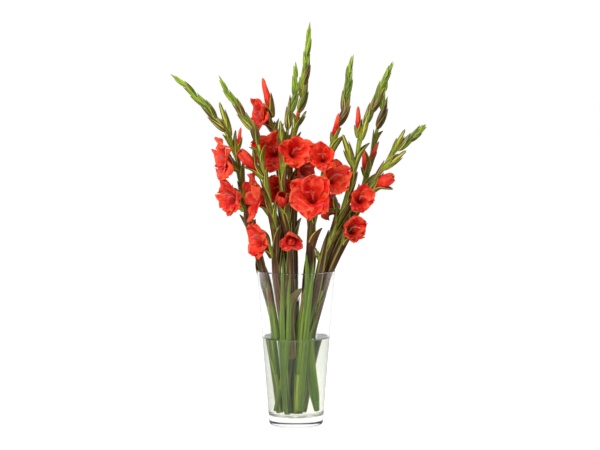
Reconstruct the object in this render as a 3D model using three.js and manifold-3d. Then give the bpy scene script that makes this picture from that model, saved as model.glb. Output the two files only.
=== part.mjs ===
// Cut gladioli standing in a conical glass vase of water.
//
// Millimetres, +Z up. The origin is the centre of the vase's flat underside, and its front faces -Y.
// Nine flower spikes stand on the vase's floor, fan out over its rim, and carry open florets, half-open
// florets, coloured buds and a tight tip of green buds. Loose leaf blades stand between them.
import * as THREE from "three";
import { mergeVertices } from "three/addons/utils/BufferGeometryUtils.js";
import Module from "manifold-3d";

const wasm = await Module();
wasm.setup();

// ---- Driving dimensions -------------------------------------------------------------------------------

const VASE_HEIGHT = 300;
const RIM_DIAMETER = 150; // outside, at the top
const FOOT_DIAMETER = 103; // outside, where the wall would meet the table
const WALL = 3.5; // glass thickness of the side
const FLOOR = 20; // glass thickness of the bottom
const FOOT_ROUND = 5; // radius of the edge round the underside
const FLOOR_ROUND = 7; // radius inside, where the wall meets the floor
const WATER_LEVEL = 170; // height of the water's surface above the table

const STEM_FOOT_DIAMETER = 12; // a stem in its leaf sheaths, at the cut end
const STEM_TOP_DIAMETER = 5; // where the tip of green buds begins
const LEAF_THICKNESS = 2;
const FLORET_SIZE = 1; // 1 gives the widths below
const FLORET_TUBE_DIAMETER = 8; // a floret's narrow tube, in its bracts, where it leaves the stem
const PETAL_WALL = 2.2;
const LOBE_DEPTH = 0.09; // how far a floret's rim dips in between two petals, as a share of its radius
const BUD_FOOT_SHARE = 0.5; // a bud's width at its foot, as a share of its greatest width
const BUNDLE_SPREAD = 0.3; // how far the stems have fanned out at half the vase's height: 1 is the rim
const CUT_END_DIP = 0.08; // how much lower a leaning cut end reaches, as a share of its diameter
const CLEARANCE = 0.35; // gap between pieces that touch
const SHORTEST_EDGE = 0.05; // what a cut leaves smaller than this is smoothed away

const ROUND_SIDES = 40; // facets round the glass and the water
const STEM_SIDES = 7;
const STEM_STEPS = 11;
const BUD_SIDES = 6;
const BUD_STEPS = 4;
const TIP_BUD_SIDES = 4;
const TIP_BUD_STEPS = 3;
const PETALS = 6;
const LEAF_SIDES = 6;
const LEAF_STEPS = 8;

// ---- The nine spikes ----------------------------------------------------------------------------------
//
// foot and rim are where the stem stands on the floor and where it passes the rim, in shares of the room
// for its centre there. rise lists the offsets from the point at the rim to the points that the spike
// then passes.
// tip is the length of the bud-covered end. A floret or bud leaves its stem at height at above the rim.
// A floret's mouth and a bud's end are offsets from the stem's centre at that height, and face is where a
// floret looks.

const SPIKES = [
  {
    foot: [-0.58, -0.19],
    rim: [-0.97, -0.09],
    rise: [
      [-28, 6, 93], [-40, 10, 151], [-51, 12, 230], [-70, 14, 262], [-99, 16, 300],
      [-134, 16, 340], [-177, 14, 372],
    ],
    tip: 152,
    florets: [
      { at: 188, mouth: [-39, -23, 21], face: [-0.93, -0.34, 0.12], wide: 82 },
      { at: 112, mouth: [-36, -26, 27], face: [-0.82, -0.56, -0.1], wide: 74 },
    ],
    buds: [
      { at: 226, end: [8, -12, 46], thick: 9 },
      { at: 252, end: [-20, -12, 68], thick: 9 },
    ],
  },
  {
    foot: [-0.33, -0.51],
    rim: [-0.58, -0.47],
    rise: [
      [-2, -2, 26], [-1, -4, 70], [-5, -6, 105], [-14, -8, 141], [-21, -8, 183],
      [-31, -8, 211], [-33, -8, 242], [-40, -8, 265], [-58, -8, 293], [-86, -8, 333],
      [-113, -8, 368],
    ],
    tip: 150,
    florets: [
      { at: 176, mouth: [-46, -16, 50], face: [-0.62, -0.3, 0.7], wide: 26 },
      { at: 108, mouth: [-42, -8, 35], face: [-0.94, -0.3, 0.12], wide: 84 },
      { at: 26, mouth: [-38, -24, 36], face: [-0.8, -0.58, 0.05], wide: 66 },
    ],
    buds: [],
  },
  {
    foot: [-0.35, 0.19],
    rim: [-0.31, 0.34],
    rise: [[-4, 8, 87], [-10, 14, 155], [-18, 18, 232], [-22, 18, 290]],
    tip: 0,
    florets: [
      { at: 262, mouth: [-34, -8, 32], face: [-0.88, -0.4, 0.2], wide: 60 },
      { at: 198, mouth: [-9, -38, 30], face: [-0.1, -0.98, 0.1], wide: 80 },
      { at: 118, mouth: [-8, -36, 34], face: [-0.2, -0.95, -0.1], wide: 66 },
    ],
    buds: [{ at: 288, end: [-22, -4, 78], thick: 12 }],
  },
  {
    foot: [-0.19, 0.63],
    rim: [-0.03, 0.4],
    rise: [
      [-8, 10, 77], [-10, 14, 155], [-8, 14, 232], [-1, 14, 271], [9, 12, 304],
      [14, 12, 338], [20, 10, 366], [28, 8, 474],
    ],
    tip: 176,
    florets: [{ at: 168, mouth: [34, -16, 22], face: [0.85, -0.5, 0.1], wide: 66 }],
    buds: [
      { at: 262, end: [9, -8, 44], thick: 10 },
      { at: 256, end: [26, 4, 46], thick: 12 },
    ],
  },
  {
    foot: [-0.21, -0.16],
    rim: [-0.19, -0.22],
    rise: [
      [-4, -2, 68], [-10, -4, 135], [-14, -4, 203], [-10, -2, 238], [-2, 0, 275],
      [3, 2, 311], [12, 4, 346], [17, 4, 395],
    ],
    tip: 128,
    florets: [
      { at: 196, mouth: [28, -34, 32], face: [0.25, -0.96, 0.08], wide: 62 },
      { at: 110, mouth: [-6, -32, 36], face: [0.1, -0.8, 0.55], wide: 28 },
      { at: 48, mouth: [6, -42, 8], face: [-0.1, -0.85, -0.5], wide: 48 },
    ],
    buds: [{ at: 232, end: [-6, -14, 54], thick: 9 }],
  },
  {
    foot: [0, -0.51],
    rim: [0.38, -0.34],
    rise: [
      [3, -4, 50], [7, -6, 98], [16, -6, 145], [28, -4, 184], [43, 0, 236],
      [54, 4, 271], [68, 8, 306], [74, 10, 348], [78, 12, 411],
    ],
    tip: 138,
    florets: [
      { at: 188, mouth: [-6, -40, 32], face: [-0.15, -0.97, 0.15], wide: 54 },
      { at: 148, mouth: [36, -26, 31], face: [0.6, -0.78, 0.1], wide: 68 },
      { at: 100, mouth: [-4, -54, 48], face: [-0.2, -0.97, 0.05], wide: 84 },
    ],
    buds: [{ at: 240, end: [12, -12, 60], thick: 11 }],
  },
  {
    foot: [0.09, -0.19],
    rim: [0.74, -0.07],
    rise: [
      [11, -4, 50], [28, -8, 87], [45, -10, 118], [55, -10, 152], [64, -8, 186],
      [69, -6, 235], [79, -4, 270], [97, -2, 304], [117, 0, 356], [136, 2, 397],
    ],
    tip: 132,
    florets: [{ at: 100, mouth: [-26, 26, 24], face: [-0.8, 0.35, 0.2], wide: 62 }],
    buds: [
      { at: 196, end: [-26, -16, 64], thick: 12 },
      { at: 246, end: [16, -12, 50], thick: 9 },
      { at: 250, end: [-2, 12, 62], thick: 10 },
      { at: 52, end: [18, -16, 42], thick: 9 },
      { at: 14, end: [-14, -12, 30], thick: 8 },
    ],
  },
  {
    foot: [0.16, 0.51],
    rim: [0.84, 0.4],
    rise: [
      [18, 6, 40], [34, 10, 72], [52, 12, 104], [68, 14, 140], [83, 16, 173],
      [91, 16, 207], [98, 16, 249], [105, 14, 290], [114, 12, 328], [119, 10, 363],
    ],
    tip: 96,
    florets: [],
    buds: [
      { at: 186, end: [14, -18, 56], thick: 13 },
      { at: 172, end: [-8, -18, 58], thick: 11 },
    ],
  },
  {
    foot: [0.19, 0.14],
    rim: [0.99, 0.06],
    rise: [
      [18, 2, 33], [34, 4, 79], [47, 6, 107], [68, 6, 135], [79, 6, 163], [96, 4, 190],
      [120, 2, 221], [148, -2, 249], [186, -4, 271],
    ],
    tip: 74,
    florets: [
      { at: 146, mouth: [46, -10, 30], face: [0.86, -0.2, 0.4], wide: 30 },
      { at: 112, mouth: [11, -34, 25], face: [0.35, -0.93, 0], wide: 52 },
      { at: 46, mouth: [26, -32, 33], face: [0.5, -0.84, -0.1], wide: 52 },
    ],
    buds: [
      { at: 222, end: [22, -10, 46], thick: 9 },
      { at: 192, end: [48, -8, 36], thick: 10 },
    ],
  },
];

// Loose leaf blades. points are x and y in shares of the vase's inner radius, with the height above the
// floor in shares of the vase's inner depth, so a blade stays between the stems when the vase changes. A
// blade may lean out over the rim, where its share of the depth is over 1.
const LEAVES = [
  {
    points: [
      [-0.36, -0.6, 0.03], [-0.42, -0.64, 0.46], [-0.38, -0.65, 0.79],
      [-0.34, -0.62, 1.11],
    ],
    wide: 10,
  },
  {
    points: [
      [-0.72, -0.34, 0.03], [-0.46, -0.5, 0.2], [-0.24, -0.66, 0.5],
      [-0.2, -0.73, 0.96],
    ],
    wide: 10,
  },
  {
    points: [
      [-0.08, -0.5, 0.4], [-0.2, -0.5, 0.61], [-0.18, -0.48, 0.78], [0, -0.47, 0.86],
      [0.18, -0.49, 0.89],
    ],
    wide: 14,
  },
  {
    points: [
      [0.14, -0.6, 0.03], [0.26, -0.62, 0.46], [0.38, -0.64, 0.79],
      [0.48, -0.64, 1.09],
    ],
    wide: 11,
  },
  {
    points: [[0.28, -0.52, 0.64], [0.3, -0.52, 0.86], [0.3, -0.52, 1], [0.26, -0.54, 1.14]],
    wide: 10,
  },
  {
    points: [[0.7, -0.36, 0.03], [0.54, -0.44, 0.2], [0.42, -0.54, 0.4], [0.42, -0.58, 0.6]],
    wide: 17,
  },
];

// ---- Materials ----------------------------------------------------------------------------------------

const finish = (color, roughness, more = {}) =>
  new THREE.MeshStandardMaterial({ color, roughness, metalness: 0, ...more });
const GLASS = finish("#eef2ee", 0.05, { transparent: true, opacity: 0.3 });
const WATER = finish("#dfe5d2", 0.05, { transparent: true, opacity: 0.3 });
const STEM_GREEN = finish("#64702f", 0.55);
const LEAF_GREEN = finish("#5f8030", 0.5);
const BUD_GREEN = finish("#7c8c3c", 0.5);
const BUD_BROWN = finish("#7a4a34", 0.5);
const PETAL_RED = finish("#e2412c", 0.45);

// ---- Shape helpers ------------------------------------------------------------------------------------

const vector = (xyz) => new THREE.Vector3(...xyz);
const mix = THREE.MathUtils.lerp;

// Bends a shape that stands on Y from 0 to 1 along a curve, and whatever reaches past 0 and 1 straight on.
// Its X then lies as near to across as it can, and its X and Z grow by the two numbers that scaleAt gives
// at each share of the curve's length.
function bend(geometry, curve, across, scaleAt) {
  const position = geometry.getAttribute("position");
  for (let i = 0; i < position.count; i++) {
    const t = THREE.MathUtils.clamp(position.getY(i), 0, 1);
    const beyond = (position.getY(i) - t) * curve.getLength();
    const [wide, deep] = scaleAt(t);
    const along = curve.getTangentAt(t);
    const side = across.clone().projectOnPlane(along).normalize();
    const front = side.clone().cross(along);
    const point = curve
      .getPointAt(t)
      .addScaledVector(side, position.getX(i) * wide)
      .addScaledVector(front, position.getZ(i) * deep)
      .addScaledVector(along, beyond);
    position.setXYZ(i, point.x, point.y, point.z);
  }
  return geometry;
}

// A closed rod along a curve, of the radii that radiiAt gives, with its skin and ends moved out by grow.
function rod(curve, sides, steps, across, grow, radiiAt) {
  const past = grow / curve.getLength();
  const straight = new THREE.CylinderGeometry(1, 1, 1 + 2 * past, sides, steps).translate(0, 0.5, 0);
  return bend(straight, curve, across, (t) => radiiAt(t).map((radius) => radius + grow));
}

function toSolid(geometry) {
  const bare = geometry.clone();
  bare.deleteAttribute("normal");
  bare.deleteAttribute("uv");
  const merged = mergeVertices(bare, 1e-3);
  const mesh = new wasm.Mesh({
    numProp: 3,
    vertProperties: merged.getAttribute("position").array,
    triVerts: new Uint32Array(merged.index.array),
  });
  return new wasm.Manifold(mesh);
}

function toGeometry(solid) {
  const { vertProperties, triVerts, numProp } = solid.getMesh();
  const geometry = new THREE.BufferGeometry();
  geometry.setAttribute("position", new THREE.BufferAttribute(new Float32Array(vertProperties), numProp));
  geometry.setIndex(new THREE.BufferAttribute(new Uint32Array(triVerts), 1));
  geometry.computeVertexNormals();
  return geometry;
}

// The largest body of a solid, which is the one that still hangs on its stem after a cut.
function mainBody(solid) {
  return solid.decompose().reduce((most, body) => (body.volume() > most.volume() ? body : most));
}

// ---- The group, and the cuts that keep its pieces apart -----------------------------------------------

const bouquet = new THREE.Group();
bouquet.name = "cut_gladioli";
const placed = []; // every piece so far, with CLEARANCE round it

function add(name, solid, material) {
  const mesh = new THREE.Mesh(toGeometry(solid), material);
  mesh.name = name;
  bouquet.add(mesh);
}

const apart = (a, b) => [0, 1, 2].some((k) => a.min[k] > b.max[k] || b.min[k] > a.max[k]);

// Takes away what earlier pieces already fill, as petals and leaves give way to what they press on.
function clearOfPlaced(solid) {
  const box = solid.boundingBox();
  const inTheWay = placed.filter((other) => !apart(box, other.boundingBox()));
  const rest = inTheWay.reduce((left, other) => left.subtract(other), solid);
  return mainBody(toSolid(toGeometry(rest.simplify(SHORTEST_EDGE))));
}

// shape(grow) makes the piece with its skin moved out by grow. A skin can fold over itself where a curve is
// tight, so what later pieces keep clear of is both the grown shape and the piece as it is.
function place(name, shape, material) {
  const solid = clearOfPlaced(shape(0));
  add(name, solid, material);
  placed.push(shape(CLEARANCE).add(solid));
}

// ---- Vase ---------------------------------------------------------------------------------------------

const outerRadius = (z) => mix(FOOT_DIAMETER, RIM_DIAMETER, z / VASE_HEIGHT) / 2;
const innerRadius = (z) => outerRadius(z) - WALL;

// Points of a quarter circle from one direction to another, in degrees, in a profile of radius and height.
function arc(r, z, radius, from, to, steps = 3) {
  return Array.from({ length: steps + 1 }, (_, i) => {
    const angle = THREE.MathUtils.degToRad(mix(from, to, i / steps));
    return new THREE.Vector2(r + radius * Math.cos(angle), z + radius * Math.sin(angle));
  });
}

// A profile of radius against height, turned round the vertical axis.
function turned(profile) {
  return toSolid(new THREE.LatheGeometry(profile, ROUND_SIDES).rotateX(Math.PI / 2));
}

const footCorner = outerRadius(FOOT_ROUND) - FOOT_ROUND;
const floorCorner = innerRadius(FLOOR + FLOOR_ROUND) - FLOOR_ROUND;
const rimCentre = outerRadius(VASE_HEIGHT) - WALL / 2;
const glassShape = (grow) =>
  turned([
    new THREE.Vector2(0, -grow),
    ...arc(footCorner, FOOT_ROUND, FOOT_ROUND + grow, -90, 0),
    ...arc(rimCentre, VASE_HEIGHT - WALL / 2, WALL / 2 + grow, 0, 180, 4),
    ...arc(floorCorner, FLOOR + FLOOR_ROUND, FLOOR_ROUND - grow, 0, -90),
    new THREE.Vector2(0, FLOOR + grow),
  ]);
place("glass_vase", glassShape, GLASS);

// ---- Stems and their tips -----------------------------------------------------------------------------

const stemRadius = (t) => mix(STEM_FOOT_DIAMETER, STEM_TOP_DIAMETER, t ** 2) / 2;
const DEPTH = new THREE.Vector3(0, 1, 0); // no stem runs along it, so it can steer every stem's section

function pathOf({ foot, rim, rise }) {
  const stand = FLOOR + CLEARANCE + STEM_FOOT_DIAMETER * CUT_END_DIP;
  const rimRoom = innerRadius(VASE_HEIGHT) - STEM_FOOT_DIAMETER / 2 - CLEARANCE;
  const rimPoint = vector([rim[0] * rimRoom, rim[1] * rimRoom, VASE_HEIGHT]);
  const footPoint = vector([foot[0] * floorCorner, foot[1] * floorCorner, stand]);
  const middle = footPoint.clone().lerp(rimPoint, BUNDLE_SPREAD).setZ(mix(stand, VASE_HEIGHT, 0.5));
  const above = rise.map((offset) => rimPoint.clone().add(vector(offset)));
  return new THREE.CatmullRomCurve3([footPoint, middle, rimPoint, ...above]);
}

// The share of a curve's length where it passes a height. Every path here only rises.
function shareAtHeight(curve, z) {
  let [low, high] = [0, 1];
  for (let i = 0; i < 30; i++) {
    const middle = (low + high) / 2;
    if (curve.getPointAt(middle).z < z) low = middle;
    else high = middle;
  }
  return (low + high) / 2;
}

// The stretch of a curve between two shares of its length.
function stretch(curve, from, to, count) {
  const points = Array.from({ length: count + 1 }, (_, i) => curve.getPointAt(mix(from, to, i / count)));
  return new THREE.CatmullRomCurve3(points);
}

// A pointed bud from a foot to an end, widest a third of the way up.
function budShape(foot, end, thick, grow, sides = BUD_SIDES, steps = BUD_STEPS) {
  const outline = new THREE.CatmullRomCurve3([
    new THREE.Vector3(BUD_FOOT_SHARE, 0, 0),
    new THREE.Vector3(1, 0.35, 0),
    new THREE.Vector3(0.8, 0.65, 0),
    new THREE.Vector3(0.08, 1, 0),
  ]);
  const radius = (t) => (outline.getPoint(t).x * thick) / 2;
  const line = new THREE.LineCurve3(foot, end);
  return toSolid(rod(line, sides, steps, DEPTH, grow, (t) => [radius(t), radius(t)]));
}

const TIP_CORE_DIAMETER = [6.4, 2];
const TIP_BUD_SPACING = 25; // along the spike, so that each bud overlaps the next two
const TIP_BUD_LENGTH = [60, 46]; // at the bottom of the tip, and at its end
const TIP_BUD_WIDTH = [13, 7];
const TIP_BUD_LEAN = 0.12; // how far a bud leans out, as a share of its length

// The bud-covered end: a core with buds set left and right in turn, all overlapping, as one solid.
function tipShape(curve, length, grow) {
  const coreRadius = (t) => mix(...TIP_CORE_DIAMETER, t) / 2;
  const coreRadii = (t) => [coreRadius(t), coreRadius(t)];
  const core = rod(curve, TIP_BUD_SIDES, TIP_BUD_STEPS, DEPTH, grow, coreRadii);
  const side = curve.getTangentAt(0.5).cross(DEPTH).normalize();
  const buds = Math.round(length / TIP_BUD_SPACING);
  let tip = toSolid(core);
  for (let i = 0; i < buds; i++) {
    const t = i / buds;
    const long = mix(...TIP_BUD_LENGTH, t);
    const foot = curve.getPointAt(t);
    const reach = Math.min(1, t + long / length);
    const lean = (i % 2 ? 1 : -1) * TIP_BUD_LEAN * long * (i === buds - 1 ? 0 : 1);
    const end = curve.getPointAt(reach).addScaledVector(side, lean);
    const bud = budShape(foot, end, mix(...TIP_BUD_WIDTH, t), grow, TIP_BUD_SIDES, TIP_BUD_STEPS);
    tip = tip.add(bud);
  }
  return tip;
}

const stems = SPIKES.map((spike, i) => {
  const path = pathOf(spike);
  const top = 1 - spike.tip / path.getLength();
  const gap = CLEARANCE / path.getLength();
  const stem = stretch(path, 0, top, 24);
  const shape = (grow) =>
    toSolid(rod(stem, STEM_SIDES, STEM_STEPS, DEPTH, grow, (t) => [stemRadius(t), stemRadius(t)]));
  place(`stem_${i + 1}`, shape, STEM_GREEN);
  const tip = spike.tip ? stretch(path, top + 2 * gap, 1, 10) : null;
  return { path: stem, tip };
});

stems.forEach(({ tip }, i) => {
  if (tip) place(`stem_${i + 1}_tip`, (grow) => tipShape(tip, SPIKES[i].tip, grow), BUD_GREEN);
});

// ---- Buds and florets ---------------------------------------------------------------------------------

// Where a piece of the given foot radius leaves its stem: beside it, towards the place that it points to.
function leaves(stem, at, towards, footRadius) {
  const share = shareAtHeight(stem.path, VASE_HEIGHT + at);
  const centre = stem.path.getPointAt(share);
  const outward = vector(towards).projectOnPlane(stem.path.getTangentAt(share)).normalize();
  const foot = centre.clone().addScaledVector(outward, stemRadius(share) + footRadius + 2 * CLEARANCE);
  return { centre, foot };
}

SPIKES.forEach((spike, i) => {
  spike.buds.forEach(({ at, end, thick }, k) => {
    const { centre, foot } = leaves(stems[i], at, end, (thick / 2) * BUD_FOOT_SHARE);
    const shape = (grow) => budShape(foot, centre.clone().add(vector(end)), thick, grow);
    place(`stem_${i + 1}_bud_${k + 1}`, shape, BUD_BROWN);
  });
});

// A six-petalled trumpet: a narrow tube that opens to a lobed mouth, hollow inside.
function floretShape(foot, mouth, face, wide, grow) {
  const radius = (wide * FLORET_SIZE) / 2;
  const tube = FLORET_TUBE_DIAMETER / 2;
  const reach = mouth.distanceTo(foot);
  const knee = mouth.clone().addScaledVector(face, -0.5 * reach);
  const curve = new THREE.QuadraticBezierCurve3(foot, knee, mouth);
  const wall = (PETAL_WALL + 2 * grow) / reach;
  const lift = grow / reach;
  // Radius against the share of the reach: up the outside to the rim, then down the inside to the throat.
  const profile = [
    [0, -lift],
    [tube + grow, -lift],
    [tube + grow, 0.3 - lift],
    [mix(tube, radius, 0.3) + grow, 0.62 - lift],
    [mix(tube, radius, 0.7) + grow, 0.84 - lift],
    [radius + grow, 1 - wall],
    [radius - grow, 1],
    [mix(tube, radius, 0.62) - grow, 0.84 - lift + wall],
    [Math.max(mix(tube, radius, 0.2) - grow, 1), 0.64],
    [0, 0.5],
  ].map(([r, y]) => new THREE.Vector2(r, y));
  const trumpet = new THREE.LatheGeometry(profile, 2 * PETALS);
  const position = trumpet.getAttribute("position");
  for (let i = 0; i < position.count; i++) {
    const [x, z] = [position.getX(i), position.getZ(i)];
    const lobe = 1 + LOBE_DEPTH * position.getY(i) ** 2 * (Math.cos(PETALS * Math.atan2(z, x)) - 1);
    position.setXYZ(i, x * lobe, position.getY(i), z * lobe);
  }
  const across = new THREE.Vector3(0, 0, 1).cross(face);
  return toSolid(bend(trumpet, curve, across, () => [1, 1]));
}

SPIKES.forEach((spike, i) => {
  spike.florets.forEach(({ at, mouth, face, wide }, k) => {
    const { centre, foot } = leaves(stems[i], at, mouth, FLORET_TUBE_DIAMETER / 2);
    const middle = centre.clone().addScaledVector(vector(mouth), FLORET_SIZE);
    const shape = (grow) => floretShape(foot, middle, vector(face).normalize(), wide, grow);
    place(`stem_${i + 1}_floret_${k + 1}`, shape, PETAL_RED);
  });
});

// ---- Leaf blades --------------------------------------------------------------------------------------

const leafWidth = (t) => Math.min(0.55 + 2 * t, 1) * Math.sqrt(Math.max(1 - t ** 3, 0.004));

LEAVES.forEach(({ points, wide }, i) => {
  const curve = new THREE.CatmullRomCurve3(
    points.map(([x, y, share]) => {
      const z = mix(FLOOR, VASE_HEIGHT, share);
      const radius = innerRadius(Math.min(z, VASE_HEIGHT));
      return new THREE.Vector3(x * radius, y * radius, z);
    }),
  );
  const radii = (t) => [(leafWidth(t) * wide) / 2, LEAF_THICKNESS / 2];
  const across = new THREE.Vector3(1, 0, 0);
  const shape = (grow) => toSolid(rod(curve, LEAF_SIDES, LEAF_STEPS, across, grow, radii));
  place(`leaf_${i + 1}`, shape, LEAF_GREEN);
});

// ---- Water --------------------------------------------------------------------------------------------

// A cone from the middle of the glass floor and wall, so that the cut leaves what fills the vase's inside
// up to the water's level, round the stems and leaves that stand in it.
const waterShape = turned([
  new THREE.Vector2(0, FLOOR / 2),
  new THREE.Vector2(innerRadius(FLOOR / 2) + WALL / 2, FLOOR / 2),
  new THREE.Vector2(innerRadius(WATER_LEVEL) + WALL / 2, WATER_LEVEL),
  new THREE.Vector2(0, WATER_LEVEL),
]);
add("vase_water", clearOfPlaced(waterShape), WATER);

export default bouquet;
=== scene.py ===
# %% [markdown]
# # Cut gladioli in a glass vase
#
# Nine flower spikes stand in a tall glass of water. Each spike is a stem in leaf sheaths, with florets that
# open from the bottom up, buds that show colour above them, and a tip of tight green buds.
# The solid model gives every place and size. This lesson dresses it: it makes thin petals, folded bracts,
# ribbed stems and clear glass, one kind of piece at a time.

# %% Load the frame
import math
import random

import bmesh
import bpy
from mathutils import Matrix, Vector


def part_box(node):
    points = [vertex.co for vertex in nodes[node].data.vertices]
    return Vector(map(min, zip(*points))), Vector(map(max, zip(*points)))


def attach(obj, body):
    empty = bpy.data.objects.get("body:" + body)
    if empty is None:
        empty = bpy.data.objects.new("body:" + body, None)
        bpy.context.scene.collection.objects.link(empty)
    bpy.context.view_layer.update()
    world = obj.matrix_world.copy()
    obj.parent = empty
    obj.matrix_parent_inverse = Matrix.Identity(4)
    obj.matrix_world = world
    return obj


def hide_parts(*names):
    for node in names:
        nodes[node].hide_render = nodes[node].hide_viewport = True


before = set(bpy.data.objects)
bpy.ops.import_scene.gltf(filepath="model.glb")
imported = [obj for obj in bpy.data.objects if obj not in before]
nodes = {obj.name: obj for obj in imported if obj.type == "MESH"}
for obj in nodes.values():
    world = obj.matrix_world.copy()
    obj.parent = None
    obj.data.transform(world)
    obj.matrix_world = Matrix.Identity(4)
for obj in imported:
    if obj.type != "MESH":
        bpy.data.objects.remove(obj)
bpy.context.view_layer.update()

MM = 0.001

# %% [markdown]
# ## Lines through the solid model
#
# A stem's dress has to follow the stem. The solid stems are plain rods, so the middle of a level slice lies
# on the stem's centre line. The line could be typed in again as numbers, but then a changed stem would leave
# its dress behind, so it is measured here.

# %% A smooth line through points
UP = Vector((0, 0, 1))
FRONT = Vector((0, -1, 0))


class Line:
    """A smooth line through points. at(share) gives the point at a share of its length."""

    def __init__(self, points):
        self.points = [Vector(p) for p in points]
        steps = [(b - a).length for a, b in zip(self.points, self.points[1:])]
        self.marks = [sum(steps[:i]) for i in range(len(self.points))]
        self.length = self.marks[-1]

    def at(self, share):
        far = min(max(share, 0), 1) * self.length
        i = max(k for k in range(len(self.marks) - 1) if self.marks[k] <= far)
        a, b = self.points[i], self.points[i + 1]
        before = self.points[i - 1] if i else a * 2 - b
        after = self.points[i + 2] if i + 2 < len(self.points) else b * 2 - a
        t = (far - self.marks[i]) / (self.marks[i + 1] - self.marks[i])
        bend = (b - before) * (t - 2 * t**2 + t**3) + (after - a) * (t**3 - t**2)
        return a.lerp(b, t * t * (3 - 2 * t)) + bend / 2

    def along(self, share):
        return (self.at(share + 0.01) - self.at(share - 0.01)).normalized()

    def share_at_height(self, z):
        return min((abs(self.at(k / 200).z - z), k / 200) for k in range(201))[1]


def slice_middle(name, z):
    """The middle of a solid's level slice at height z."""
    mesh = nodes[name].data
    cut = []
    for edge in mesh.edges:
        a, b = (mesh.vertices[i].co for i in edge.vertices)
        if (a.z - z) * (b.z - z) < 0:
            cut.append(a.lerp(b, (z - a.z) / (b.z - a.z)))
    return Vector([(min(c) + max(c)) / 2 for c in zip(*cut)])


def middle_line(name, count, skip=4 * MM):
    low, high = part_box(name)
    heights = [low[2] + skip + (high[2] - low[2] - 2 * skip) * k / count for k in range(count + 1)]
    points = [slice_middle(name, z) for z in heights]
    for _ in range(2):
        middle = [(a + 2 * b + c) / 4 for a, b, c in zip(points, points[1:], points[2:])]
        points = [points[0], *middle, points[-1]]
    return points


# %% [markdown]
# Each stem gets one line, and each tip another that starts where its stem's line ends and runs out to the
# tip's farthest point.

# %% The nine spikes' lines
def farthest(name, start):
    return max((v.co.copy() for v in nodes[name].data.vertices), key=lambda p: (p - start).length)


SPIKES = sorted({int(n.split("_")[1]) for n in nodes if n.startswith("stem_")})
stem_line, tip_line = {}, {}
for i in SPIKES:
    points = middle_line(f"stem_{i}", 22)
    stem_line[i] = Line(points)
    if f"stem_{i}_tip" in nodes:
        start = points[-1]
        upper = middle_line(f"stem_{i}_tip", 6, 12 * MM)
        tip_line[i] = Line([start, *upper[1:-1], farthest(f"stem_{i}_tip", start)])
print(len(stem_line), "stems, lengths", [round(stem_line[i].length, 2) for i in SPIKES])

# %% [markdown]
# ## Sheets
#
# Petals, bracts and leaves are all thin sheets that start as a flat grid of faces. A grid carries a UV map,
# so a colour can run from a petal's foot to its edge. A shape is then a rule that says where the grid's
# point goes, given how far across it is (-1 to 1) and how far along (0 to 1).
# A sheet that is rolled until its two sides meet is a closed pod, which does for buds and stems.

# %% Sheets and pods
rng = random.Random(41)


def new_piece():
    piece = bmesh.new()
    piece.loops.layers.uv.new("UVMap")
    piece.verts.layers.float.new("tone")
    return piece


def add_sheet(piece, columns, rows, shape, tone=0.5):
    grid = bmesh.ops.create_grid(piece, x_segments=columns, y_segments=rows, size=1, calc_uvs=True)
    layer = piece.verts.layers.float["tone"]
    for vertex in grid["verts"]:
        vertex.co = shape(vertex.co.x, (vertex.co.y + 1) / 2)
        vertex[layer] = tone
    return grid["verts"]


def across_and_out(along, outward):
    """Two directions square to along: one across, one as near outward as it can be."""
    out = (outward - along * outward.dot(along)).normalized()
    return out.cross(along).normalized(), out


def add_pod(piece, columns, rows, line, radius, outward=FRONT, tone=0.5):
    """A closed pod along a line. radius(angle, share) gives its width and depth there."""

    def shape(across, share):
        wide, deep = radius(across * math.pi, share)
        side, out = across_and_out(line.along(share), outward)
        angle = across * math.pi
        return line.at(share) + side * wide * math.sin(angle) - out * deep * math.cos(angle)

    verts = add_sheet(piece, columns, rows, shape, tone)
    bmesh.ops.remove_doubles(piece, verts=verts, dist=0.01 * MM)


def finish_piece(piece, name, finish, stands_for=(), thickness=0, rounding=1):
    bmesh.ops.recalc_face_normals(piece, faces=piece.faces)
    mesh = bpy.data.meshes.new(name)
    piece.to_mesh(mesh)
    piece.free()
    for face in mesh.polygons:
        face.use_smooth = True
    mesh.materials.append(finish)
    thing = bpy.data.objects.new(name, mesh)
    bpy.context.scene.collection.objects.link(thing)
    if thickness:
        wall = thing.modifiers.new("thickness", "SOLIDIFY")
        wall.thickness, wall.offset = thickness, 0
    if rounding:
        smooth = thing.modifiers.new("rounding", "SUBSURF")
        smooth.levels = smooth.render_levels = rounding
    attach(thing, "root")
    if stands_for:
        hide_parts(*stands_for)
    return thing


# %% [markdown]
# ## Finishes
#
# A finish is a small net of shader nodes. Node nets are slow to read as a list of links, so a socket is
# wrapped in a class that knows plus, minus and times, and the net is written as a sum.

# %% Shader helpers
def paint(red, green, blue):
    """A colour from 0 to 255 as a screen shows it, as the shader wants it."""

    def linear(c):
        c = c / 255
        return c / 12.92 if c < 0.04045 else ((c + 0.055) / 1.055) ** 2.4

    return (linear(red), linear(green), linear(blue), 1)


class Wire:
    """A socket that can be used in sums."""

    def __init__(self, finish, socket):
        self.finish, self.socket = finish, socket

    def sum(self, operation, first, second):
        return self.finish.node("ShaderNodeMath", {"operation": operation}, {0: first, 1: second})

    def __add__(self, other):
        return self.sum("ADD", self, other)

    def __sub__(self, other):
        return self.sum("SUBTRACT", self, other)

    def __rsub__(self, other):
        return self.sum("SUBTRACT", other, self)

    def __mul__(self, other):
        return self.sum("MULTIPLY", self, other)

    __radd__, __rmul__ = __add__, __mul__


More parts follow.
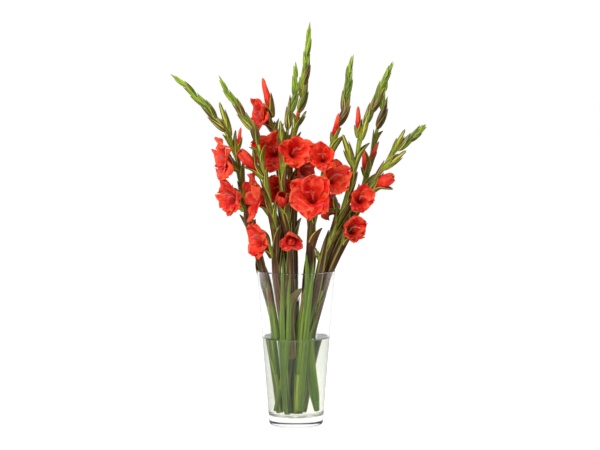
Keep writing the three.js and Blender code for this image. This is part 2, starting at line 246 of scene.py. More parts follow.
class Finish:
    """A material, and the one way to add a node to it."""

    def __init__(self, name):
        self.material = bpy.data.materials.new(name)
        self.material.use_nodes = True
        self.tree = self.material.node_tree
        self.shader = self.tree.nodes["Principled BSDF"]

    def node(self, kind, settings, inputs, output=0):
        made = self.tree.nodes.new(kind)
        for key, value in settings.items():
            setattr(made, key, value)
        self.fill(made, inputs)
        return Wire(self, made.outputs[output])

    def fill(self, made, inputs):
        for key, value in inputs.items():
            if isinstance(value, Wire):
                self.tree.links.new(value.socket, made.inputs[key])
            else:
                made.inputs[key].default_value = value

    def blend(self, share, first, second):
        return self.node("ShaderNodeMix", {"data_type": "RGBA"}, {0: share, 6: first, 7: second}, 2)

    def step(self, value, low, high):
        """0 below low, 1 above high, smooth between."""
        inputs = {"Value": value, "From Min": low, "From Max": high}
        return self.node("ShaderNodeMapRange", {"interpolation_type": "SMOOTHSTEP"}, inputs)

    def place(self):
        """How far across (0 in the middle, 1 at the sides) and how far along the sheet."""
        uv = self.node("ShaderNodeTexCoord", {}, {}, "UV")
        split = self.tree.nodes.new("ShaderNodeSeparateXYZ")
        self.tree.links.new(uv.socket, split.inputs[0])
        across, along = Wire(self, split.outputs[0]), Wire(self, split.outputs[1])
        middle = self.node("ShaderNodeMath", {"operation": "ABSOLUTE"}, {0: across * 2 - 1})
        return across, middle, along

    def height(self):
        where = self.node("ShaderNodeTexCoord", {}, {}, "Object")
        return self.node("ShaderNodeSeparateXYZ", {}, {0: where}, 2)

    def tone(self):
        return self.node("ShaderNodeAttribute", {"attribute_name": "tone"}, {}, "Fac")

    def clouds(self, scale, detail=3):
        where = self.node("ShaderNodeTexCoord", {}, {}, "Object")
        return self.node("ShaderNodeTexNoise", {}, {"Vector": where, "Scale": scale, "Detail": detail})

    def streaks(self, across, along, many, stretch):
        """Fine lines that run along the sheet."""
        place = {0: across * many, 1: along * stretch, 2: self.tone() * 9}
        where = self.node("ShaderNodeCombineXYZ", {}, place)
        return self.node("ShaderNodeTexNoise", {}, {"Vector": where, "Scale": 1, "Detail": 2})

    def bump(self, height, strength, distance):
        inputs = {"Height": height, "Strength": strength, "Distance": distance}
        return self.node("ShaderNodeBump", {}, inputs)

    def surface(self, **inputs):
        self.fill(self.shader, {key.replace("_", " "): value for key, value in inputs.items()})
        return self.material


# %% [markdown]
# A petal is deep red in its throat, darkened further there by painted shade, paler towards its edge, and
# streaked along its length. Fine clouds of darker red are painted shade in its folds, and the same clouds
# raise its skin a little.

# %% The petals' finish
def petal_finish():
    f = Finish("petal")
    across, middle, along = f.place()
    veins = f.streaks(across, along, 26, 2.2)
    patches = f.clouds(55)
    dark_throat_and_shade = f.step(along + (veins - 0.5) * 0.2, 0.56, 0.3)
    folds_and_shade = f.clouds(140, 2)
    edge = f.step(along * 0.75 + middle * 0.35 + (patches - 0.5) * 0.6, 0.6, 1.05)
    body = f.blend(f.step(patches, 0.35, 0.68), paint(210, 14, 8), paint(246, 62, 28))
    body = f.blend(f.tone() * 0.9, body, paint(178, 8, 16))
    body = f.blend(edge * 0.55, body, paint(255, 108, 66))
    # Painted shade: darker red where the fold clouds make creases.
    body = f.blend(f.step(folds_and_shade, 0.52, 0.3) * 0.4, body, paint(184, 12, 16))
    body = f.blend(f.step(veins, 0.5, 0.66) * 0.6, body, paint(186, 14, 16))
    # The throat's own deep crimson, darkened further as painted shade of the deep tube.
    body = f.blend(dark_throat_and_shade * 0.65, body, paint(132, 12, 20))
    return f.surface(
        Base_Color=body,
        Roughness=0.42 + (veins - 0.5) * 0.3,
        Normal=f.bump(veins * 0.9 + folds_and_shade * 1.2 + patches * 0.4, 0.75, 1.4 * MM),
        Subsurface_Weight=0.2,
        Subsurface_Scale=3 * MM,
        Specular_IOR_Level=0.22,
    )


PETAL = petal_finish()
print("finish:", PETAL.name)


# %% [markdown]
# Stems, leaves, bracts and buds share one ribbed skin. It takes four colours, and a share that says how much
# of it has turned brown.

# %% Green and brown skins
def skin_finish(name, low, high, edge, brown, brown_share, ribs=18, tall=0):
    """A ribbed skin: low to high colour along it, paler sides, and brown blushes, more of them higher up.
    The grooves between its ribs are darkened as painted shade.
    """
    f = Finish(name)
    across, middle, along = f.place()
    rib = f.streaks(across, along, ribs, 1.1)
    patches = f.clouds(38)
    body = f.blend(f.step(along + (rib - 0.5) * 0.5, 0.1, 0.9), low, high)
    height = f.step(f.height() + (patches - 0.5) * 0.1, 0.15, 0.3)
    amount = f.tone() + (patches - 0.5) * 1.1 + (rib - 0.5) * 0.5 + height * tall + along * 0.25
    blush = f.step(amount, 1.1 - brown_share, 1.5 - brown_share)
    body = f.blend(blush, body, brown)
    body = f.blend(f.step(f.tone(), 0, 1) * 0.35, body, paint(40, 50, 16))
    body = f.blend(f.step(middle, 0.78, 1) * 0.75, body, edge)
    body = f.blend(f.step(rib, 0.5, 0.68) * 0.45, body, edge)
    # Painted shade: near-black green in the grooves between the ribs, where the bump is lowest.
    body = f.blend(f.step(rib, 0.5, 0.36) * 0.75, body, paint(22, 34, 8))
    return f.surface(
        Base_Color=body,
        Roughness=0.42 + (rib - 0.5) * 0.35,
        Normal=f.bump(rib, 0.7, 0.9 * MM),
        Subsurface_Weight=0.08,
        Subsurface_Scale=2 * MM,
        Specular_IOR_Level=0.4,
    )


DARK_BROWN, MAROON = paint(94, 34, 26), paint(112, 38, 34)
BRACT = skin_finish(
    "bract", paint(124, 140, 26), paint(96, 84, 28), paint(196, 200, 58),
    MAROON, 0.62,
)
STEM = skin_finish(
    "stem", paint(68, 100, 8), paint(84, 100, 14), paint(166, 180, 58),
    DARK_BROWN, 0.18, ribs=14, tall=0.9,
)
LEAF = skin_finish(
    "leaf", paint(62, 102, 10), paint(84, 116, 16), paint(160, 172, 54),
    paint(100, 56, 30), 0.2, ribs=24, tall=0.45,
)
GREEN = skin_finish(
    "green_bud", paint(104, 136, 16), paint(134, 162, 28), paint(190, 204, 74),
    paint(118, 62, 34), 0.4, ribs=9,
)
print("finishes:", BRACT.name, STEM.name, LEAF.name, GREEN.name)


# %% [markdown]
# Stamens are plain. Glass and water are clear, with the index of refraction of the real ones. The glass
# reflects little, because a pale room would lie on it as a veil.

# %% Small flower parts, glass and water
def plain_finish(name, colour, second, scale, roughness, **more):
    f = Finish(name)
    clouds = f.clouds(scale)
    return f.surface(
        Base_Color=f.blend(clouds, colour, second),
        Roughness=roughness + (clouds - 0.5) * 0.1,
        Normal=f.bump(clouds, 0.2, 0.3 * MM),
        **more,
    )


ANTHER = plain_finish("anther", paint(196, 130, 120), paint(132, 60, 80), 420, 0.6)
PISTIL = plain_finish("pistil", paint(236, 112, 84), paint(206, 54, 42), 300, 0.45)


def clear_finish(name, colour, ior, shine, tint):
    f = Finish(name)
    return f.surface(
        Base_Color=colour,
        Roughness=0.0,
        IOR=ior,
        Transmission_Weight=1.0,
        Specular_IOR_Level=shine,
        Specular_Tint=(tint, tint, tint, 1),
    )


GLASS = clear_finish("clear_glass", (0.968, 0.974, 0.966, 1), 1.5, 0.2, 0.25)
WATER = clear_finish("clear_water", (0.8, 0.815, 0.735, 1), 1.33, 0.5, 1)
print("finishes:", ANTHER.name, PISTIL.name, GLASS.name, WATER.name)

# %% [markdown]
# ## The vase and its water
#
# A blown glass is one skin, inside and out, so its outline is drawn once from the middle of the underside,
# up the outside, over the rim, down the inside and back to the middle, and spun round. The solid vase has
# flat facets, which clear glass would show as stripes, so the spun one stands for it.

# %% Spin the vase
ROUND = 128


def spin(piece, outline):
    """Turns an outline of (radius, height) round the vertical axis."""
    verts = [piece.verts.new((r, 0, z)) for r, z in outline]
    edges = [piece.edges.new(pair) for pair in zip(verts, verts[1:])]
    whole = {"axis": UP, "cent": (0, 0, 0), "angle": math.tau, "steps": ROUND, "use_merge": True}
    bmesh.ops.spin(piece, geom=verts + edges, **whole)
    bmesh.ops.remove_doubles(piece, verts=piece.verts, dist=0.001 * MM)


def arc(r, z, radius, start, end, steps=6):
    angles = [math.radians(start + (end - start) * k / steps) for k in range(steps + 1)]
    return [(r + radius * math.cos(a), z + radius * math.sin(a)) for a in angles]


low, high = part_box("glass_vase")
vase_height, rim_radius = high[2], high[0]
water_low, water_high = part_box("vase_water")
water_level = water_high[2]
WALL = 3.5 * MM
FLOOR = 20 * MM
FLOOR_ROUND = 7 * MM
FOOT_ROUND = 5 * MM
foot_radius = 51.5 * MM


def outside(z):
    return foot_radius + (rim_radius - foot_radius) * z / vase_height


def wall(inset, start, end, steps=14):
    """Points up or down the vase's side. The first and last lie close to the corners, which keeps the
    shading of the corners out of the long clear side."""
    heights = [start + (end - start) * k / steps for k in range(steps + 1)]
    near = math.copysign(0.6 * MM, end - start)
    heights = [start + near, start + 3 * near, *heights[1:-1], end - 3 * near, end - near]
    return [(outside(z) - inset, z) for z in heights]


vase = new_piece()
rim = arc(rim_radius - WALL / 2, vase_height - WALL / 2, WALL / 2, 0, 180, 10)
corner = (outside(FLOOR + FLOOR_ROUND) - WALL - FLOOR_ROUND, FLOOR + FLOOR_ROUND)
inner_foot = arc(*corner, FLOOR_ROUND, 0, -90)
outer_foot = arc(outside(FOOT_ROUND) - FOOT_ROUND, FOOT_ROUND, FOOT_ROUND, -90, 0)
kick = [(0, 1.6 * MM), (30 * MM, 1.3 * MM), (41 * MM, 0.3 * MM), (43 * MM, 0)]
outer_wall = wall(0, FOOT_ROUND, vase_height - WALL / 2)
inner_wall = wall(WALL, vase_height - WALL / 2, corner[1])
floor_disc = [(r * MM, FLOOR) for r in (41, 30, 15, 0)]
spin(vase, [*kick, *outer_foot, *outer_wall, *rim, *inner_wall, *inner_foot, *floor_disc])
vase_piece = finish_piece(vase, "vase", GLASS, ["glass_vase"], rounding=0)
vase_piece.visible_shadow = False
vase_piece.visible_diffuse = False  # light then reaches the stems once, straight
print("vase", round(2000 * rim_radius), "mm wide,", round(1000 * vase_height), "mm high")

# %% [markdown]
# The water is spun in the same way. Its surface climbs the glass a little at the edge, which draws the fine
# dark ring that real water shows there.

# %% Fill it with water
OVERLAP = 0.25 * MM  # the water reaches a little into the glass, so no film of air shows between them
water = new_piece()
water_inset = WALL - OVERLAP
water_foot = arc(*corner, FLOOR_ROUND + OVERLAP, -90, 0)
CLIMB = 1.8 * MM  # how far the water climbs the glass at its edge
top = water_level + CLIMB
water_wall = wall(water_inset, corner[1], top, 10)
edge = outside(top) - water_inset
meniscus = [(edge, top), (edge - 0.5 * MM, top - 0.7 * MM), (edge - 1.5 * MM, top - 1.4 * MM)]
surface = [(edge - r * MM, water_level) for r in (3.2, 4.5, 8, 30)]
floor_disc = [(r * MM, FLOOR - OVERLAP) for r in (0, 15, 30, 41)]
spin(water, [*floor_disc, *water_foot, *water_wall, *meniscus, *surface, (0, water_level)])
water_piece = finish_piece(water, "water", WATER, ["vase_water"], rounding=0)
water_piece.visible_shadow = False
water_piece.visible_diffuse = False
print("water to", round(1000 * water_level), "mm")

# %% [markdown]
# ## Stems
#
# A gladiolus stem is not a smooth rod. Long leaf sheaths clasp it one over the other, and each ends in a
# point that stands a little away from it. The stem is a pod along its line, and the sheaths are sheets that
# are rolled most of the way round it.

# %% Stems
CUT_RADIUS, TOP_RADIUS = 5.2 * MM, 2.8 * MM
SHEATH_SWELL = 1.3 * MM  # what the sheaths add where most of them overlap
WIDER, FLATTER = 1.12, 0.9  # a stem is a little wider than it is deep


def stem_radius(share):
    """Thickest where the sheaths overlap most, a third of the way up."""
    bare = CUT_RADIUS + (TOP_RADIUS - CUT_RADIUS) * share**2
    return bare + SHEATH_SWELL * math.sin(math.pi * min(1, share * 1.5))


def make_stem(i):
    piece = new_piece()

    def radius(angle, share):
        if share in (0, 1):
            return 0, 0
        swell = 1 + 0.05 * math.sin(share * 37 + i)
        return stem_radius(share) * swell * WIDER, stem_radius(share) * swell * FLATTER

    line = stem_line[i]
    ends = Line([line.at(k / 40) for k in range(41)])
    add_pod(piece, 14, 46, ends, radius, tone=rng.uniform(0.3, 0.8))
    return finish_piece(piece, f"stem_{i}_core", STEM, [f"stem_{i}"])


for i in SPIKES:
    make_stem(i)
print("made", len(SPIKES), "stems")

# %% [markdown]
# A clasp is a pointed sheet that is rolled round a line. Sheaths, bracts and the husks of buds are all
# clasps of different sizes.

# %% Sheaths
SHEATH_STARTS = (0.0, 0.14, 0.3, 0.44)
LAST_SHEATH_END = 0.8
ROLLED_ROUND = 0.84  # how much of a turn a sheath or bract covers at its foot


def add_clasp(piece, line, start, end, radius, wide, outward, lean, tone, loose=0.35, columns=6, rows=10):
    """A pointed sheet that clasps a line from start to end. wide is in turns, and its point leans out."""

    def shape(across, share):
        where = start + (end - start) * share
        side, out = across_and_out(line.along(where), outward)
        opening = wide * (1 - 0.55 * share) * math.sqrt(max(1 - share**2.6, 0))
        angle = across * math.pi * opening
        r = radius(where) * (1.1 + loose * 4 * share * (1 - share)) + lean * share**2.5
        keel = 1 + 0.18 * (1 - abs(across)) ** 2
        return line.at(where) + side * r * math.sin(angle) + out * r * math.cos(angle) * keel

    add_sheet(piece, columns, rows, shape, tone)


def make_sheaths(i):
    piece = new_piece()
    line = stem_line[i]
    for k, start in enumerate(SHEATH_STARTS):
        outward = Vector((math.cos(2.4 * i + 2.9 * k), math.sin(2.4 * i + 2.9 * k), 0))
        end = start + rng.uniform(0.24, 0.34)
        lean = rng.uniform(1, 5) * MM * (1 + 2 * (k > 1))
        tone, loose = rng.uniform(0.2, 0.9), 0.1 + 0.1 * k
        end = min(end, LAST_SHEATH_END)
        add_clasp(piece, line, start, end, stem_radius, ROLLED_ROUND, outward, lean, tone, loose)
    return finish_piece(piece, f"stem_{i}_sheaths", STEM, thickness=0.5 * MM)


for i in SPIKES:
    make_sheaths(i)
print("made", len(SPIKES) * len(SHEATH_STARTS), "sheaths")

# %% [markdown]
# ## Florets
#
# Six tepals grow from one narrow tube, three in an outer ring and three in an inner one. The top one arches
# over the throat like a hood, and the lower three bend back as a lip. All have waved edges.
# The directions below are the ones that the florets look in, because a solid says where it is but not which
# way it looks. The rest is measured: the foot is the solid's point nearest to its stem, and the mouth is its
# farthest ring in that direction.

# %% Where each floret looks
LOOKS = {
    "1_1": (-0.93, -0.34, 0.12), "1_2": (-0.82, -0.56, -0.1),
    "2_1": (-0.62, -0.3, 0.7), "2_2": (-0.94, -0.3, 0.12), "2_3": (-0.8, -0.58, 0.05),
    "3_1": (-0.88, -0.4, 0.2), "3_2": (-0.1, -0.98, 0.1), "3_3": (-0.2, -0.95, -0.1),
    "4_1": (0.85, -0.5, 0.1),
    "5_1": (0.25, -0.96, 0.08), "5_2": (0.1, -0.8, 0.55), "5_3": (-0.1, -0.85, -0.5),
    "6_1": (-0.15, -0.97, 0.15), "6_2": (0.6, -0.78, 0.1), "6_3": (-0.2, -0.97, 0.05),
    "7_1": (-0.8, 0.35, 0.2),
    "9_1": (0.86, -0.2, 0.4), "9_2": (0.35, -0.93, 0), "9_3": (0.5, -0.84, -0.1),
}


def nearest_to_stem(name, i):
    line = stem_line[i]
    marks = [line.at(k / 60) for k in range(61)]
    points = [v.co.copy() for v in nodes[name].data.vertices]
    return min(points, key=lambda p: min((p - m).length for m in marks))


def measure_floret(key):
    i = int(key.split("_")[0])
    name = f"stem_{i}_floret_{key.split('_')[1]}"
    look = Vector(LOOKS[key]).normalized()
    foot = nearest_to_stem(name, i)
    points = [v.co for v in nodes[name].data.vertices]
    front = max(p.dot(look) for p in points)
    ring = [p for p in points if p.dot(look) > front - 1.5 * MM]
    middle = Vector([(min(c) + max(c)) / 2 for c in zip(*ring)])
    wide = max((p - middle).length for p in ring)
    return name, foot, middle, look, wide


florets = {key: measure_floret(key) for key in LOOKS}
print("florets", {key: round(2000 * value[-1]) for key, value in florets.items()})


# %% [markdown]
# A tepal is a sheet whose foot is rolled into the tube. Above the tube it widens and turns outward. A few
# sines of different lengths wave its edges, and none of them is alike on two tepals.

# %% Petals of a floret
TUBE_SHARE = 0.28  # how much of a tepal is its narrow foot, in the tube
WIDEST = 0.66  # where a tepal is widest, as a share of what is above the tube
TUBE_RADIUS = 3.2 * MM
ROLLED_UP, HALF_OPEN, WITH_STAMENS = 17 * MM, 24 * MM, 26 * MM  # a floret's radius tells how open it is
HOODS = (0.14, -0.02, -0.1, -0.12, -0.1, -0.02)  # for the six tepals, from the top one round
DROOPS = (0.85, 0.7, 0.3, 0.1, 0.3, 0.7)  # of a half-open floret's tepals
NODDING = {"5_3"}  # hangs its head, so its petals cover its throat
FLAT = {"6_3", "6_2", "5_1"}  # wide open and pale, without a hood over the throat


def add_tepal(piece, tube, look, radius, turn, hood, droop, inner, rough, tone):
    """One tepal: turn is its place round the tube, hood is above 0 where its tip bends forward, and droop
    above 0 where it hangs in over the throat."""
    widest = radius * (0.6 if inner else 0.66) * rng.uniform(0.9, 1.1)
    narrow = TUBE_RADIUS * 1.15
    wave = [rng.uniform(0, math.tau) for _ in range(4)]
    reach = tube.length
    shallow = min(1, 1.1 * radius / reach)
    size = rng.uniform(0.92, 1.1)
    crease = rng.uniform(0.03, 0.09)
    closed = radius < ROLLED_UP
    twist = rng.uniform(-0.35, 0.35)

    def shape(across, share):
        t = max(0, (share - TUBE_SHARE) / (1 - TUBE_SHARE))
        rise = min(share / TUBE_SHARE, 1)
        if closed:
            r = TUBE_RADIUS + (radius * 0.8 - TUBE_RADIUS) * math.sin(math.pi * t * 0.86) ** 0.8
            s = 0.3 * rise + 0.78 * t
        else:
            r = TUBE_RADIUS * (1 + 0.5 * share) + (radius * size - TUBE_RADIUS) * t**1.2 * (1 - droop * t)
            s = 0.42 * rise + 0.55 * (1 - (1 - t) ** 1.7) + shallow * hood * t**3
        if t < WIDEST:
            half = narrow + (widest - narrow) * math.sin(t / WIDEST * math.pi / 2) ** 1.5
        else:
            half = widest * math.sqrt(max(1 - ((t - WIDEST) / (1 - WIDEST)) ** 2.8, 0.003))
        phi = across * min(half / max(r, TUBE_RADIUS), 1.25) + twist * t
        waves = math.sin(11 * share + wave[0] + 2.5 * across) * abs(across) ** 1.4 * t
        waves += math.sin(7 * across + wave[1]) * 0.9 * t**3
        waves += math.sin(17 * share + 5 * across + wave[3]) * 0.3 * t**2
        waves += math.sin(31 * share + 9 * across + wave[2]) * 0.35 * abs(across) ** 3 * t
        waves += math.sin(16 * across + 3 * wave[0]) * 0.4 * t**6
        midrib = crease * t * (1 - abs(across)) ** 2
        ring = (0.015 if inner else -0.015) * t
        s += shallow * rough * waves - midrib + ring
        along = tube.along(min(s, 0.97)) if s < 0.8 else look
        side, up = across_and_out(along, UP)
        angle = turn + phi
        out = up * math.cos(angle) + side * math.sin(angle)
        base = tube.at(min(s, 1)) + look * max(s - 1, 0) * reach
        frill = 0.06 * math.sin(6 * across + wave[2]) * t
        frill += 0.05 * math.sin(14 * across + wave[1]) * t**5
        return base + out * r * (1 + frill)

    add_sheet(piece, 16, 16, shape, tone)


def make_floret(key):
    name, foot, middle, look, radius = florets[key]
    reach = (middle - foot).length
    bend = middle - look * 0.5 * reach
    curve = [foot.lerp(bend, k / 10).lerp(bend.lerp(middle, k / 10), k / 10) for k in range(11)]
    tube = Line(curve)
    piece = new_piece()
    half_open = ROLLED_UP < radius < HALF_OPEN
    base_tone = rng.uniform(-0.15, 0.75)
    rough = 0.03 if radius < ROLLED_UP else rng.uniform(0.12, 0.19)
    if half_open or key in NODDING:
        base_tone += 0.5
    elif key in FLAT:
        base_tone -= 0.5
    for k in range(6):
        inner = k % 2 == 1
        turn = k * math.tau / 6
        hood = 0 if k == 0 and key in FLAT else HOODS[k] * min(1, radius / (30 * MM))
        tone = min(1, max(0, base_tone + rng.uniform(-0.3, 0.5)))
        droop = DROOPS[k] if half_open else rng.uniform(0, 0.16)
        if key in NODDING:
            droop = 1.28 if inner else 0.1
        hood += rng.uniform(-0.14, 0.1)
        add_tepal(piece, tube, look, radius, turn, hood, droop, inner, rough, tone)
    finish_piece(piece, f"petals_{key}", PETAL, [name], thickness=0.35 * MM)
    return tube


tubes = {key: make_floret(key) for key in LOOKS}
print("made", len(tubes), "florets of six tepals")


# %% [markdown]
# In an open floret three threads rise along the top of the throat. Each carries a long anther, and the
# style's three lobes show beyond them.

# %% Stamens and style
THREAD = 0.7 * MM


def tapered(wide, deep, wide_power, deep_power):
    """The radius of a pod that narrows to both ends. A lower power makes it blunter."""

    def radius(angle, share):
        bow = math.sin(math.pi * share)
        return wide * bow**wide_power, deep * bow**deep_power

    return radius


ANTHER_SHAPE = tapered(1.6 * MM, 1.1 * MM, 0.5, 0.5)
LOBE_SHAPE = tapered(1.3 * MM, 0.6 * MM, 0.7, 1)


def make_heart(key):
    _, _, middle, look, radius = florets[key]
    tube = tubes[key]
    side, up = across_and_out(look, UP)
    anthers, style = new_piece(), new_piece()
    for k in (-1, 0, 1):
        start = tube.at(0.5) + up * 2 * MM
        knee = tube.at(0.78) + up * (0.16 * radius) + side * k * 0.05 * radius
        end = middle + up * (0.2 - 0.06 * abs(k)) * radius + side * k * 0.11 * radius - look * 5 * MM
        thread = Line([start, knee, end])
        add_pod(style, 6, 8, thread, lambda a, s: (0, 0) if s in (0, 1) else (THREAD, THREAD))
        anther = Line([end - look * 4 * MM, end, end + look * 6 * MM + up * 1 * MM])
        add_pod(anthers, 8, 8, anther, ANTHER_SHAPE)
        ahead_and_aside = ((3, 0), (8, 2), (11, 5))
        lobe = Line([end + look * ahead * MM + side * k * aside * MM for ahead, aside in ahead_and_aside])
        add_pod(style, 6, 6, lobe, LOBE_SHAPE)
    finish_piece(anthers, f"anthers_{key}", ANTHER)
    finish_piece(style, f"style_{key}", PISTIL)


OPEN = [key for key in LOOKS if florets[key][-1] > WITH_STAMENS]
for key in OPEN:
    make_heart(key)
print("made stamens in", len(OPEN), "florets")

# %% [markdown]
# ## Buds
#
# A bud that shows colour is its petals, still rolled round each other, in a clasp of two bracts. A pod whose
# radius has a step that winds round it reads as rolled petals.

# %% Coloured buds
BROWN_BUDS = ("1_2", "4_2", "5_1", "7_1", "7_2", "7_4", "7_5", "9_1", "9_2")
SLIMMEST = 0.1  # a bud's radius is at most this share of its length
bud_line, bud_thick = {}, {}


def make_bud(name):
    i, k = name.split("_")[1], name.split("_")[3]
    key = f"{i}_{k}"
    foot = nearest_to_stem(name, int(i))
    end = farthest(name, foot)
    along = (end - foot).normalized()
    _, out = across_and_out(along, FRONT)
    thick = max((v.co - foot).cross(along).length for v in nodes[name].data.vertices)
    thick = min(thick, SLIMMEST * (end - foot).length)
    line = Line([foot, foot.lerp(end, 0.5) + out * 1.5 * MM, end])
    bud_line[key], bud_thick[key] = line, thick
    piece = new_piece()

    def radius(angle, share):
        if share in (0, 1):
            return 0, 0
        winding = (angle / math.tau + 0.9 * share + 0.3 * int(k)) % (1 / 3) * 3
        belly = math.sin(math.pi * share**0.8) ** 0.6 * (1 - 0.25 * share)
        r = thick * (0.25 + 0.75 * belly) * (0.86 + 0.2 * winding)
        return r, r

    add_pod(piece, 24, 16, line, radius, tone=rng.uniform(0, 0.6))
    colour = BRACT if key in BROWN_BUDS else PETAL
    finish_piece(piece, f"bud_{key}", colour, [name])


for name in sorted(n for n in nodes if "_bud_" in n):
    make_bud(name)
print("made", len(bud_line), "coloured buds")

# %% [markdown]
# ## Bracts
#
# Two bracts hold each floret and bud: folded, pointed leaves that clasp its foot. Between the florets, others
# hug the stem in two ranks. They give the flowering part of the stem its dark braided look.

# %% Bracts
BRACT_SPACING = 27 * MM
FIRST_BRACT = 25 * MM  # above the vase's rim
SHORTEST_BRACT, LONGEST_BRACT = 58, 80  # millimetres
BRACT_LEANS = (3, 5, 9, 14)  # how far their points stand out, in millimetres


def make_bracts(i):
    piece = new_piece()
    line = stem_line[i]
    first = line.share_at_height(vase_height + FIRST_BRACT)
    count = int((1 - first) * line.length / BRACT_SPACING)
    for k in range(count):
        start = first + (1 - first) * k / count
        away = 1 if k % 2 else -1
        side, out = across_and_out(line.along(start), FRONT)
        outward = side * away + out * rng.uniform(-0.5, 0.7)
        end = start + rng.uniform(SHORTEST_BRACT, LONGEST_BRACT) * MM / line.length
        tone = rng.uniform(0.3, 1) * (1.2 - 0.9 * k / count)
        lean = rng.choice(BRACT_LEANS) * MM
        add_clasp(piece, line, start, min(end, 1), stem_radius, ROLLED_ROUND, outward, lean, tone, 0.5)
    for key, tube in tubes.items():
        if key.startswith(f"{i}_"):
            for turn in (-1, 1):
                outward = across_and_out(tube.along(0.2), FRONT)[0] * turn + UP * 0.4
                fit = lambda s: 5 * MM + 26 * MM * max(0, s - 0.4)
                reach, tone = 0.72 - 0.1 * turn, rng.uniform(0.2, 1)
                add_clasp(piece, tube, 0, reach, fit, 0.66, outward, 2 * MM, tone, 0.3)
    for key, bud in bud_line.items():
        if key.startswith(f"{i}_"):
            for turn in (-1, 1):
                outward = across_and_out(bud.along(0.3), FRONT)[0] * turn + FRONT * 0.3
                wide = bud_thick[key]
                fit = lambda s: wide * (0.42 + 0.62 * math.sin(math.pi * min(s**0.8, 1)) ** 0.7)
                reach = (0.66 if key in BROWN_BUDS else 0.5) - 0.1 * turn
                add_clasp(piece, bud, 0, reach, fit, 0.62, outward, 0.3 * MM, rng.uniform(0, 0.9), 0.04)
    return finish_piece(piece, f"stem_{i}_bracts", BRACT, thickness=0.5 * MM)


for i in SPIKES:
    make_bracts(i)
print("made bracts on", len(SPIKES), "stems")

# %% [markdown]
# ## Green tips
#
# At the tip the buds are still green and small, set left and right in turn and overlapping like the grains
# of an ear of wheat. Each is a flat pod with a keel, held by one bract.

# %% Tips
TIP_SPACING = 27 * MM
LAST_BUD = 0.74  # where the last bud begins, as a share of the tip
CORE_WIDE, CORE_DEEP = 4 * MM, 3.4 * MM


def make_tip(i):
    piece = new_piece()
    line = tip_line[i]
    core = lambda a, s: (0, 0) if s in (0, 1) else (CORE_WIDE * (1 - 0.8 * s), CORE_DEEP * (1 - 0.8 * s))
    neck = [stem_line[i].at(0.96), stem_line[i].at(0.98)]
    add_pod(piece, 8, 16, Line([*neck, *(line.at(k / 16) for k in range(17))]), core, tone=0.3)
    count = max(3, int(line.length / TIP_SPACING))
    for k in range(count):
        share = LAST_BUD * k / (count - 1)
        last = k == count - 1
        long = (70 - 16 * share) * MM
        away = 0 if last else (1 if (k + i) % 2 else -1)
        side, out = across_and_out(line.along(share), FRONT)
        foot = line.at(share) - side * away * 1 * MM
        end = line.at(min(1, share + long / line.length)) + side * away * (7.4 - 6.9 * share) * MM
        knee = line.at(min(1, share + 0.45 * long / line.length)) + side * away * (2.8 - 2.4 * share) * MM
        bud = Line([foot, knee + out * rng.uniform(-1.5, 1.5) * MM, end])
        wide = (7.0 - 4.4 * share) * MM

        def radius(angle, s, wide=wide):
            belly = math.sin(math.pi * s**0.62) ** 1.05 if 0 < s < 1 else 0
            return wide * belly * 0.8, wide * belly * (1 + 0.2 * abs(math.cos(angle)) ** 5)

        tone = rng.uniform(0.6, 1) * (1.1 - share)
        outward = side * (away or 1) + out * 0.3
        add_pod(piece, 12, 12, bud, radius, outward, tone)
        hold = lambda s, wide=wide: wide * (0.3 + 0.76 * math.sin(math.pi * min(s, 1) ** 0.62) ** 1.05)
        add_clasp(piece, bud, 0, 0.66, hold, 0.58, outward, 0.2 * MM, min(1, tone * 1.3), 0.03, 6, 9)
    return finish_piece(piece, f"stem_{i}_green_buds", GREEN, [f"stem_{i}_tip"])


for i in tip_line:
    make_tip(i)
print("made", len(tip_line), "green tips")

# %% [markdown]
# ## Loose leaves
#
# Sword-shaped blades, folded a little along the midrib, slip between the stems.

# %% Leaves
FOLDED_LEAF = "leaf_3"  # the withered one, brown and folded over
BROAD_LEAF = "leaf_6"
BROAD, NARROW = 9 * MM, 4.8 * MM  # half a blade's width
WITHERED = 1.4  # a tone that turns a whole blade brown


def make_leaf(name):
    line = Line(middle_line(name, 10, 1.5 * MM))
    folded = name == FOLDED_LEAF
    broad = BROAD if folded or name == BROAD_LEAF else NARROW
    point = 7 if folded else 3  # the power that keeps a blade broad up to its end
    piece = new_piece()

    def shape(across, share):
        side, out = across_and_out(line.along(share), FRONT)
        half = broad * min(0.6 + 2 * share, 1) * math.sqrt(max(1 - share**point, 0))
        fold = 0.35 * abs(across) * half
        return line.at(share) + side * across * half - out * fold

    add_sheet(piece, 8, 24, shape, WITHERED if folded else rng.uniform(0, 0.7))
    finish_piece(piece, f"{name}_blade", LEAF, [name], thickness=0.6 * MM)


for name in sorted(n for n in nodes if n.startswith("leaf_")):
    make_leaf(name)
print("made the loose leaves")

# %% [markdown]
# ## Floor, light and camera
#
# The flowers stand in a white studio with a pale floor. The room is bright behind them and dark in front
# and low down. Clear glass shows what is behind it and reflects what is in front, so this keeps it clear and
# gives it grey edges.

# %% Floor
floor = bmesh.new()
bmesh.ops.create_grid(floor, x_segments=1, y_segments=1, size=30)
floor_mesh = bpy.data.meshes.new("floor")
floor.to_mesh(floor_mesh)
floor.free()
floor_thing = bpy.data.objects.new("floor", floor_mesh)
bpy.context.scene.collection.objects.link(floor_thing)
floor_finish = Finish("floor").surface(
    Base_Color=(0.93, 0.93, 0.93, 1), Roughness=0.7, Emission_Color=(1, 1, 1, 1), Emission_Strength=0.45
)
floor_mesh.materials.append(floor_finish)
floor_thing.visible_glossy = False  # a bright floor would lie as a veil on the glass
print("floor", floor_thing.dimensions[:2])


# %% [markdown]
# A soft lamp at the upper left models the flowers, and a wide one fills their shadows from the front.

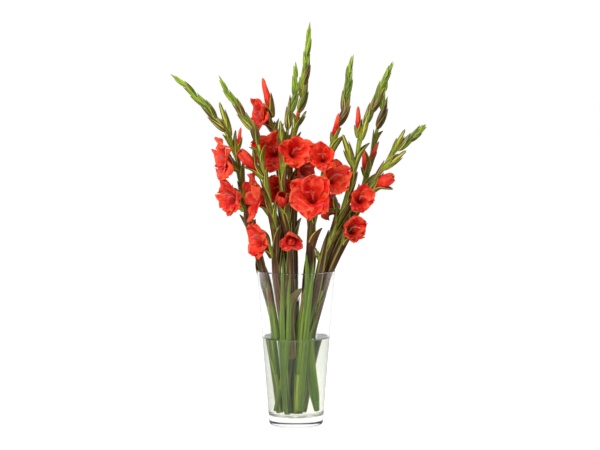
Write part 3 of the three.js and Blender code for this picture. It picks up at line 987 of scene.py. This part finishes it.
# %% Light
def soft_lamp(name, place, aim, size, power):
    light = bpy.data.lights.new(name, "AREA")
    light.size, light.energy = size, power
    lamp = bpy.data.objects.new(name, light)
    lamp.location = place
    lamp.rotation_euler = (Vector(aim) - Vector(place)).to_track_quat("-Z", "Y").to_euler()
    bpy.context.scene.collection.objects.link(lamp)
    return lamp


room = bpy.data.worlds.new("room")
bpy.context.scene.world = room
room.use_nodes = True
tree = room.node_tree
direction = tree.nodes.new("ShaderNodeTexCoord")
split = tree.nodes.new("ShaderNodeSeparateXYZ")
tree.links.new(direction.outputs["Generated"], split.inputs[0])


def ramp(source, start, end, dark, bright):
    """Runs from dark to bright while one part of a direction runs from start to end."""
    node = tree.nodes.new("ShaderNodeMapRange")
    for key, value in {"From Min": start, "From Max": end, "To Min": dark, "To Max": bright}.items():
        node.inputs[key].default_value = value
    tree.links.new(source, node.inputs["Value"])
    return node.outputs[0]


both = tree.nodes.new("ShaderNodeMath")
both.operation = "MULTIPLY"
tree.links.new(ramp(split.outputs["Y"], -0.3, 0.4, 0.08, 1.05), both.inputs[0])
tree.links.new(ramp(split.outputs["Z"], -0.35, -0.06, 0.12, 1.0), both.inputs[1])
tree.links.new(both.outputs[0], tree.nodes["Background"].inputs["Strength"])
tree.nodes["Background"].inputs["Color"].default_value = (1, 1, 1, 1)
soft_lamp("key", (-1.3, -2.0, 2.1), (0, 0, 0.5), 1.0, 84)
fill = soft_lamp("fill", (0.7, -3.0, 1.3), (0, 0, 0.4), 3, 18)
fill.visible_glossy = False  # so that it lies on the flowers, but not as a veil on the glass
bpy.context.scene.view_settings.view_transform = "Standard"
print("room and lamp set")

# %% [markdown]
# A long lens from the front, a little above the vase's rim.

# %% Camera
lens = bpy.data.cameras.new("camera")
lens.lens, lens.sensor_width = 108, 36
camera = bpy.data.objects.new("camera", lens)
camera.location = (0.0076, -3.42, 0.695)
camera.rotation_euler = (Vector((0.0076, 0, 0.385)) - camera.location).to_track_quat("-Z", "Y").to_euler()
bpy.context.scene.collection.objects.link(camera)
bpy.context.scene.camera = camera
print("camera at", tuple(round(c, 3) for c in camera.location))
